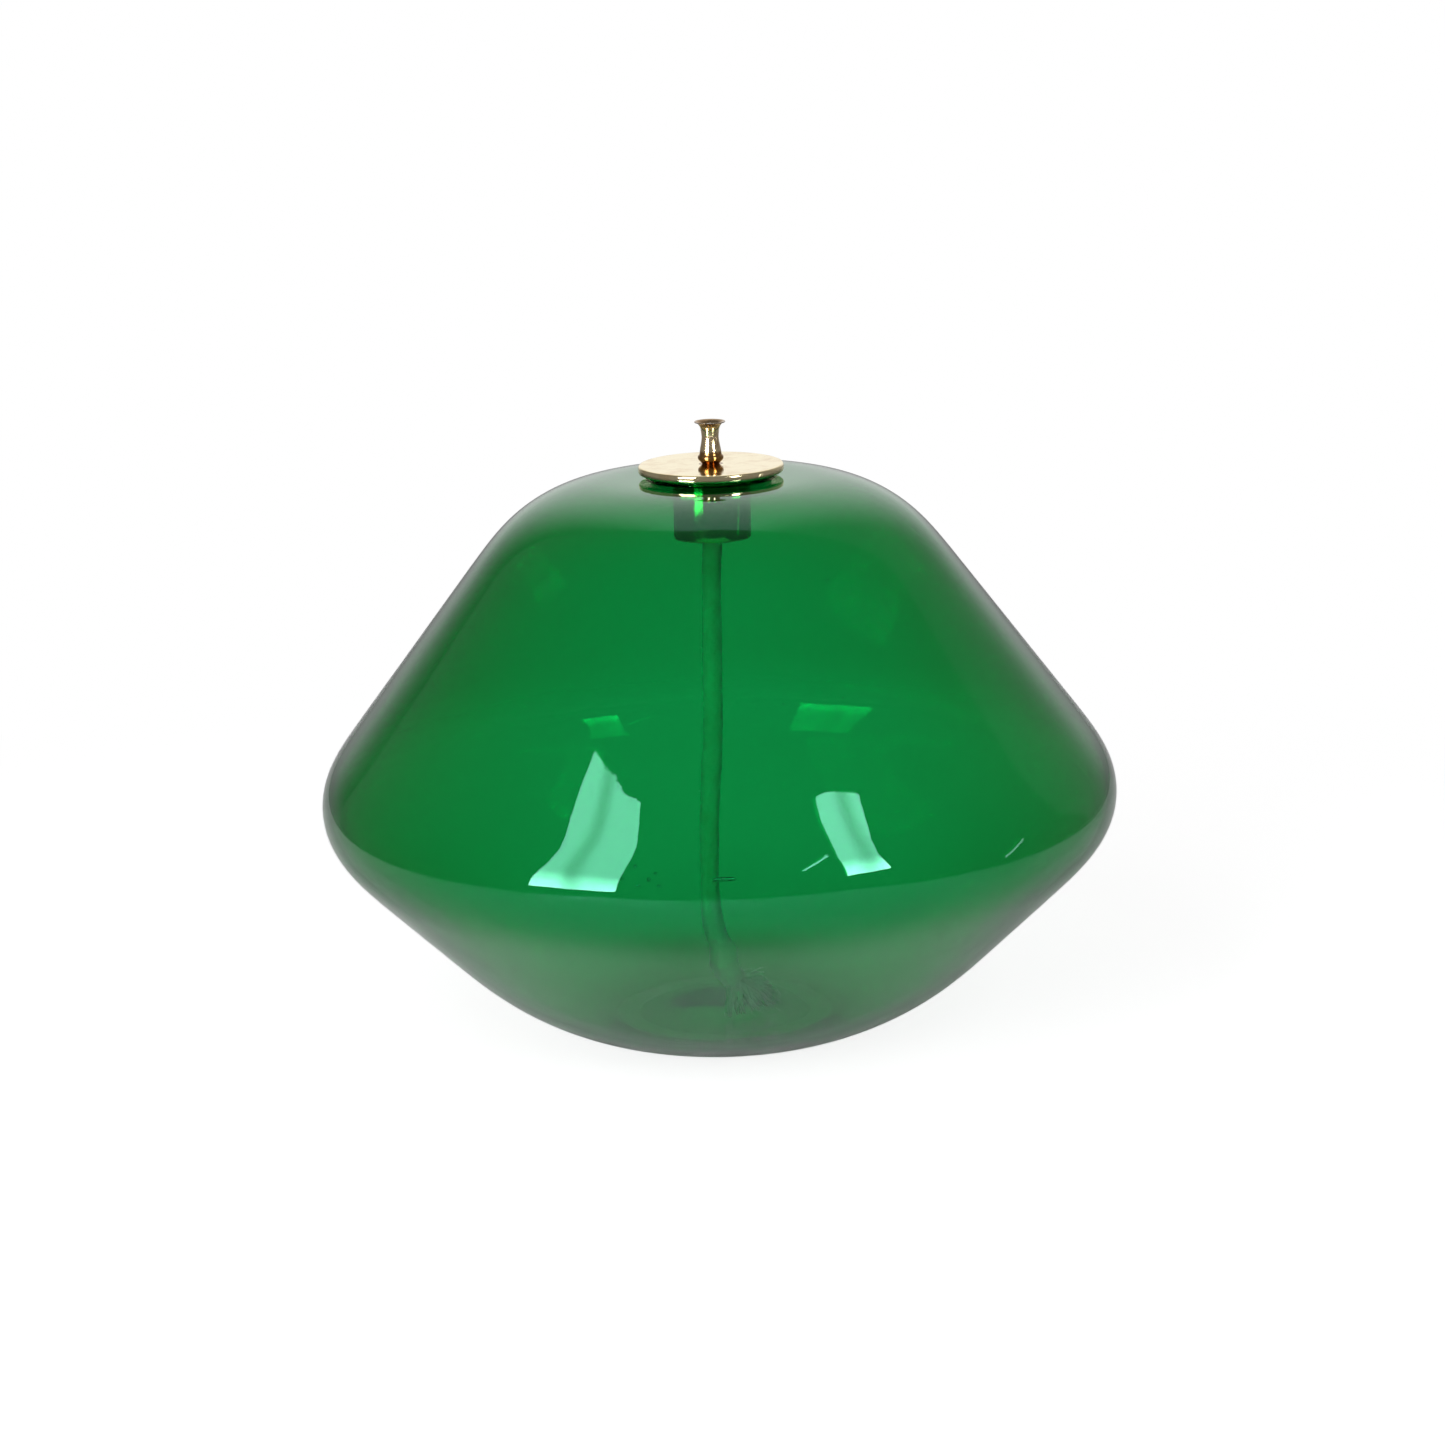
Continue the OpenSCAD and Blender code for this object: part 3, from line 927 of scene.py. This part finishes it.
def make_wick_tube():
    tail_low = SEAT_H - TAIL_LEN
    chamfer = 0.3 * MM
    outside = [(p[1] * MM, PLATE_TOP + p[0] * MM) for p in catmull(TUBE_SHAPE, 4)]
    rim = TUBE_SHAPE[-1][1] * MM
    flare = []
    for i in range(13):
        t = i / 12
        flare.append((TUBE_BORE_R + (rim - FLARE_EDGE - TUBE_BORE_R) * (1 - t) ** FLARE_POWER,
                      PLATE_TOP + TUBE_RIM_H - FLARE_DEPTH * t))
    tail = [(TAIL_R - chamfer, tail_low), (TAIL_R, tail_low + chamfer)]
    tail += [(TAIL_R, tail_low + (SEAT_H - 0.2 * MM - tail_low) * i / 64) for i in range(4, 65)]
    outline = [(TUBE_BORE_R, tail_low)] + tail + [(TAIL_R, PLATE_TOP)]
    outline += outside + [(rim, PLATE_TOP + TUBE_RIM_H)] + flare
    top = SEAT_H - COLLAR_T - WASHER_T - 0.1 * MM

    def threaded(i, angle, radius, height):
        if radius < TAIL_R - 0.01 * MM or not tail_low + chamfer * 0.9 < height < top:
            return radius, height
        fade = smoothstep(tail_low + chamfer, tail_low + 0.9 * MM, height)
        fade *= smoothstep(top, top - 0.5 * MM, height)
        return radius - thread(angle, height, THREAD_DEPTH) * fade, height

    tube = lathe("nozzle_tube", refine(without_repeats(outline), SMALL_STEP), TUBE_SEGMENTS,
                 TUBE_BRASS, 50, threaded)
    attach(tube, "burner")
    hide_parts("wick_tube")


def make_washer():
    top = SEAT_H - COLLAR_T
    e = 0.15 * MM
    outline = [(TAIL_R + 0.2 * MM, top - WASHER_T), (WASHER_R - e, top - WASHER_T),
               (WASHER_R, top - WASHER_T + e), (WASHER_R, top - e), (WASHER_R - e, top),
               (TAIL_R + 0.2 * MM, top)]
    washer = lathe("flat_washer", refine(outline, SMALL_STEP), WASHER_SEGMENTS, PLAIN_BRASS)
    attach(washer, "burner")
    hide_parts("washer")


def make_nut():
    top = SEAT_H - COLLAR_T - WASHER_T
    low = top - NUT_T
    face_r = NUT_FLATS_R * 0.97
    bevel = tan(radians(30))
    mouth = 0.35 * MM
    grooves = 30
    bore_points = [(TAIL_R, top - mouth - (NUT_T - 2 * mouth) * i / grooves)
                   for i in range(grooves + 1)]
    outline = [(TAIL_R + mouth, low), (face_r, low), (NUT_FLATS_R, low + 0.2 * MM),
               (NUT_FLATS_R, top - 0.2 * MM), (face_r, top), (TAIL_R + mouth, top)] + bore_points

    def hexagon(i, angle, radius, height):
        if 2 <= i <= 3:
            sixth = (angle + pi / 6) % (pi / 3) - pi / 6
            r = NUT_FLATS_R / cos(sixth)
            drop = max(0.02 * MM, (r - face_r) * bevel)
            return r, (low + drop if i == 2 else top - drop)
        if i > 5:
            return TAIL_R + 0.02 * MM - thread(angle, height, -THREAD_DEPTH * 0.4), height
        return radius, height

    nut = lathe("hex_nut", outline, NUT_SEGMENTS, PLAIN_BRASS, 25, hexagon)
    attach(nut, "burner")
    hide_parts("lock_nut")


# ---------------------------------------------------------------- studio
# All of the studio's light is neutral: what is green is green because of the glass.
DOME = 0.2                    # soft even light from all round
ROOM = 0.2                    # the dim studio in front of the lamp, as it is mirrored
BACKDROP_FAR_LEFT = 0.10      # the mirrored backdrop falls off from white to its two sides
BACKDROP_FAR_RIGHT = 0.30
BACKDROP_LOW = 0.28           # and towards the table
# Its shape and fall, in degrees aside from straight behind the lamp and up from the horizon
BACKDROP_LEFT = 43.0          # its left edge
BACKDROP_RIGHT = (53.0, 67.0)           # its right edge, low down and high up
BACKDROP_RIGHT_RISE = (-9.0, 11.0)      # and the heights between which that edge leans out
BACKDROP_TOP = 68.0
BACKDROP_CORNER = 3.2         # the higher this power, the squarer its corners
BACKDROP_EDGE = (0.95, 1.08)  # it ends softly between these, where 1 is its outline
BACKDROP_ASIDE_FALL = (10.0, 45.0)
BACKDROP_LOW_FALL = (6.0, -8.0)
TABLE_SHADE = (0.28, 0.28, 0.28, 1)     # how far the shadow darkens what is seen of the table
TABLE_LIFT = 0.84
TABLE_FADE = (0.22, 0.40)               # distances over which the table turns plain white
TABLE_PAPER = ((0.84, 0.84, 0.84, 1), (0.88, 0.88, 0.88, 1))
TABLE_GRAIN = (900, 3.0, 0.6)           # noise scale, detail and roughness
TABLE_SIDE = 0.33
TABLE_FRONT = -0.52
TABLE_BACK = 0.9

SOFTBOX_AWAY = 0.9
BOX_STRENGTH = 10
SIDE_STRIP_STRENGTH = 4
LEFT_AZIMUTH = -45            # degrees from the front, + to the right
RIGHT_AZIMUTH = 47
FRONT_STRIP_AZIMUTH = 29
SIDE_STRIP_AZIMUTH = 89
LEFT_FALL = (0.08, 0.45, 2.4, 0.80)     # two heights in metres and the light's factor at each
RIGHT_FALL = (0.28, 0.62, 2.8, 0.92)
LEFT_RIB = (0.10, 0.0)        # side position of the rib at the table and a metre up
RIGHT_RIB = (-0.16, 0.0)
RIB_REACH = 0.075             # distance over which the light grows from behind the rib
RIB_LIGHT = (0.66, 1.1)

# Outlines of the two softboxes and of two strips of light, as (side, height) in mm
LEFT_SOFTBOX = [
    (-103, 70), (282, 93), (286, 350), (283, 605), (273, 850), (255, 1096), (214, 1304),
    (194, 1355), (92, 1296), (34, 1270), (-24, 1247), (-68, 1230), (-158, 1212), (-176, 1172),
    (-186, 1145), (-184, 1094), (-152, 989), (-105, 791), (-83, 476),
]
RIGHT_SOFTBOX = [
    (-218, 264), (-21, 280), (-19, 572), (33, 838), (113, 1085), (129, 1143), (1, 1214),
    (-126, 1291), (-140, 1081), (-198, 668),
]
FRONT_STRIP = [(-107, 470), (-101, 452), (54, 705), (55, 745)]
SIDE_STRIP = [(-130, -12), (-121, -38), (-8, 138), (-8, 165)]


class Studio(Nodes):
    """Node helpers for a tree that is already there, such as the world's."""

    def __init__(self, tree):
        self.tree = tree
        tree.nodes.clear()


def grey(level):
    return (level, level, level, 1)


def sight(n):
    """Which light paths come from the camera, light a rough surface, and see a mirror image."""
    path = n.add("ShaderNodeLightPath").outputs
    lit = n.math("GREATER_THAN", path["Diffuse Depth"], 0.5)
    mirror = n.math("GREATER_THAN", path["Glossy Depth"], 0.5)
    return path["Is Camera Ray"], lit, mirror


def mirrored_backdrop(n, turn, rise):
    """What glass and brass mirror: a backdrop that is white straight behind the lamp and falls
    off from there, and a dim room in front. It is dimmer than the white that the camera sees."""
    aside = n.math("ABSOLUTE", turn)
    right_limit = n.ramp(rise, *BACKDROP_RIGHT_RISE, *BACKDROP_RIGHT)
    is_right = n.math("GREATER_THAN", turn, 0.0)
    wider = n.math("MULTIPLY", is_right, n.math("SUBTRACT", right_limit, BACKDROP_LEFT))
    limit = n.math("ADD", wider, BACKDROP_LEFT)
    sideways = n.math("POWER", n.math("DIVIDE", aside, limit), BACKDROP_CORNER)
    upwards = n.math("DIVIDE", n.math("ABSOLUTE", rise), BACKDROP_TOP)
    upwards = n.math("POWER", upwards, BACKDROP_CORNER)
    inside = n.ramp(n.math("ADD", sideways, upwards), *BACKDROP_EDGE, 1.0, 0.0)
    far = n.mix(is_right, grey(BACKDROP_FAR_LEFT), grey(BACKDROP_FAR_RIGHT))
    backdrop = n.mix(n.ramp(aside, *BACKDROP_ASIDE_FALL), grey(1.0), far)
    backdrop = n.mix(n.ramp(rise, *BACKDROP_LOW_FALL), backdrop, grey(BACKDROP_LOW))
    return n.mix(inside, grey(ROOM), backdrop)


def make_world():
    """Soft even dome for the lighting, white for what is seen, and a backdrop to be mirrored."""
    world = bpy.data.worlds.new("studio")
    world.use_nodes = True
    bpy.context.scene.world = world
    n = Studio(world.node_tree)
    split = n.add("ShaderNodeSeparateXYZ")
    n.put(split, Vector=n.add("ShaderNodeTexCoord").outputs["Generated"])
    x, y, z = split.outputs
    turn = n.math("MULTIPLY", n.math("ARCTAN2", x, y), 180 / pi)     # 0 towards +Y, + to the right
    rise = n.math("MULTIPLY", n.math("ARCSINE", z), 180 / pi)
    seen, lit, mirror = sight(n)
    colour = n.mix(mirror, grey(1.0), mirrored_backdrop(n, turn, rise))
    colour = n.mix(lit, colour, grey(DOME))
    colour = n.mix(seen, colour, grey(1.0))
    back = n.put(n.add("ShaderNodeBackground"), Color=colour, Strength=1.0)
    n.tree.links.new(back.outputs[0], n.add("ShaderNodeOutputWorld").inputs[0])


def make_floor():
    """White table top. What is seen of it, straight or through the glass, is lifted to white
    apart from the shadow. It lights and is mirrored as the plain white surface that it is."""
    n = Nodes("table_top")
    place = n.place()
    grain = n.noise(place, *TABLE_GRAIN)
    plain = n.put(n.add("ShaderNodeBsdfDiffuse"), Color=n.mix(grain, *TABLE_PAPER))
    away = n.add("ShaderNodeVectorMath", operation="LENGTH")
    n.tree.links.new(place, away.inputs[0])

    def glow(level):
        return n.put(n.add("ShaderNodeEmission"), Color=(1, 1, 1, 1), Strength=level)

    def pick(factor, a, b):
        node = n.add("ShaderNodeMixShader")
        n.tree.links.new(factor, node.inputs[0])
        n.tree.links.new(a.outputs[0], node.inputs[1])
        n.tree.links.new(b.outputs[0], node.inputs[2])
        return node

    lifted = n.add("ShaderNodeAddShader")
    shown = n.put(n.add("ShaderNodeBsdfDiffuse"), Color=TABLE_SHADE)
    n.tree.links.new(shown.outputs[0], lifted.inputs[0])
    n.tree.links.new(glow(TABLE_LIFT).outputs[0], lifted.inputs[1])
    _, lit, mirror = sight(n)
    whitened = pick(n.ramp(away.outputs["Value"], *TABLE_FADE), lifted, glow(1.0))
    surface = pick(n.math("MAXIMUM", lit, mirror), whitened, plain)
    n.tree.links.new(surface.outputs[0], n.output.inputs["Surface"])
    corners = [(-TABLE_SIDE, TABLE_FRONT, 0), (TABLE_SIDE, TABLE_FRONT, 0),
               (TABLE_SIDE, TABLE_BACK, 0), (-TABLE_SIDE, TABLE_BACK, 0)]
    floor = new_object("table_top", corners, [(0, 1, 2, 3)], n.material)


def make_softbox(name, azimuth, outline, strength, fall=None, middle=None):
    """Upright diffuser that faces the lamp from SOFTBOX_AWAY. azimuth is from the front, + to the
    right. fall gives two heights and the light's factor at each. The light is weaker behind the
    rib along the middle, which runs from one side position at the table to another a metre up."""
    n = Nodes(name)
    split = n.add("ShaderNodeSeparateXYZ")
    n.put(split, Vector=n.place())
    side, height = split.outputs["X"], split.outputs["Y"]
    light = strength
    if fall is not None:
        light = n.math("MULTIPLY", n.ramp(height, *fall), strength)
    if middle is not None:
        rib = n.math("ADD", n.math("MULTIPLY", height, middle[1] - middle[0]), middle[0])
        across = n.math("ABSOLUTE", n.math("SUBTRACT", side, rib))
        light = n.math("MULTIPLY", light, n.ramp(across, 0.0, RIB_REACH, *RIB_LIGHT))
    glow = n.put(n.add("ShaderNodeEmission"), Color=(1, 1, 1, 1), Strength=light)
    n.tree.links.new(glow.outputs[0], n.output.inputs["Surface"])
    box = new_object(name, [(x * MM, z * MM, 0) for x, z in outline], [tuple(range(len(outline)))],
                     n.material)
    turn = radians(azimuth)
    away = Vector((sin(turn), -cos(turn), 0)) * SOFTBOX_AWAY
    box.matrix_world = (Matrix.Translation(away) @ Matrix.Rotation(turn, 4, "Z")
                        @ Matrix.Rotation(radians(90), 4, "X"))
    box.visible_camera = False


def make_studio():
    make_world()
    make_floor()
    make_softbox("left_softbox", LEFT_AZIMUTH, LEFT_SOFTBOX, BOX_STRENGTH, LEFT_FALL, LEFT_RIB)
    make_softbox("right_softbox", RIGHT_AZIMUTH, RIGHT_SOFTBOX, BOX_STRENGTH, RIGHT_FALL, RIGHT_RIB)
    make_softbox("front_strip", FRONT_STRIP_AZIMUTH, FRONT_STRIP, BOX_STRENGTH)
    make_softbox("side_strip", SIDE_STRIP_AZIMUTH, SIDE_STRIP, SIDE_STRIP_STRENGTH)


# ---------------------------------------------------------------- build
wick_cord, wick_points, wick_axes, wick_cut, wick_step = make_wick()
strands = make_strands(wick_points, wick_axes, wick_cut)
fuzz = make_fuzz(wick_points, wick_axes, wick_cut, wick_step)
make_glass()
make_cover_plate()
make_collar()
make_wick_tube()
make_washer()
make_nut()
make_studio()

scene = bpy.context.scene
scene.view_settings.view_transform = "Standard"
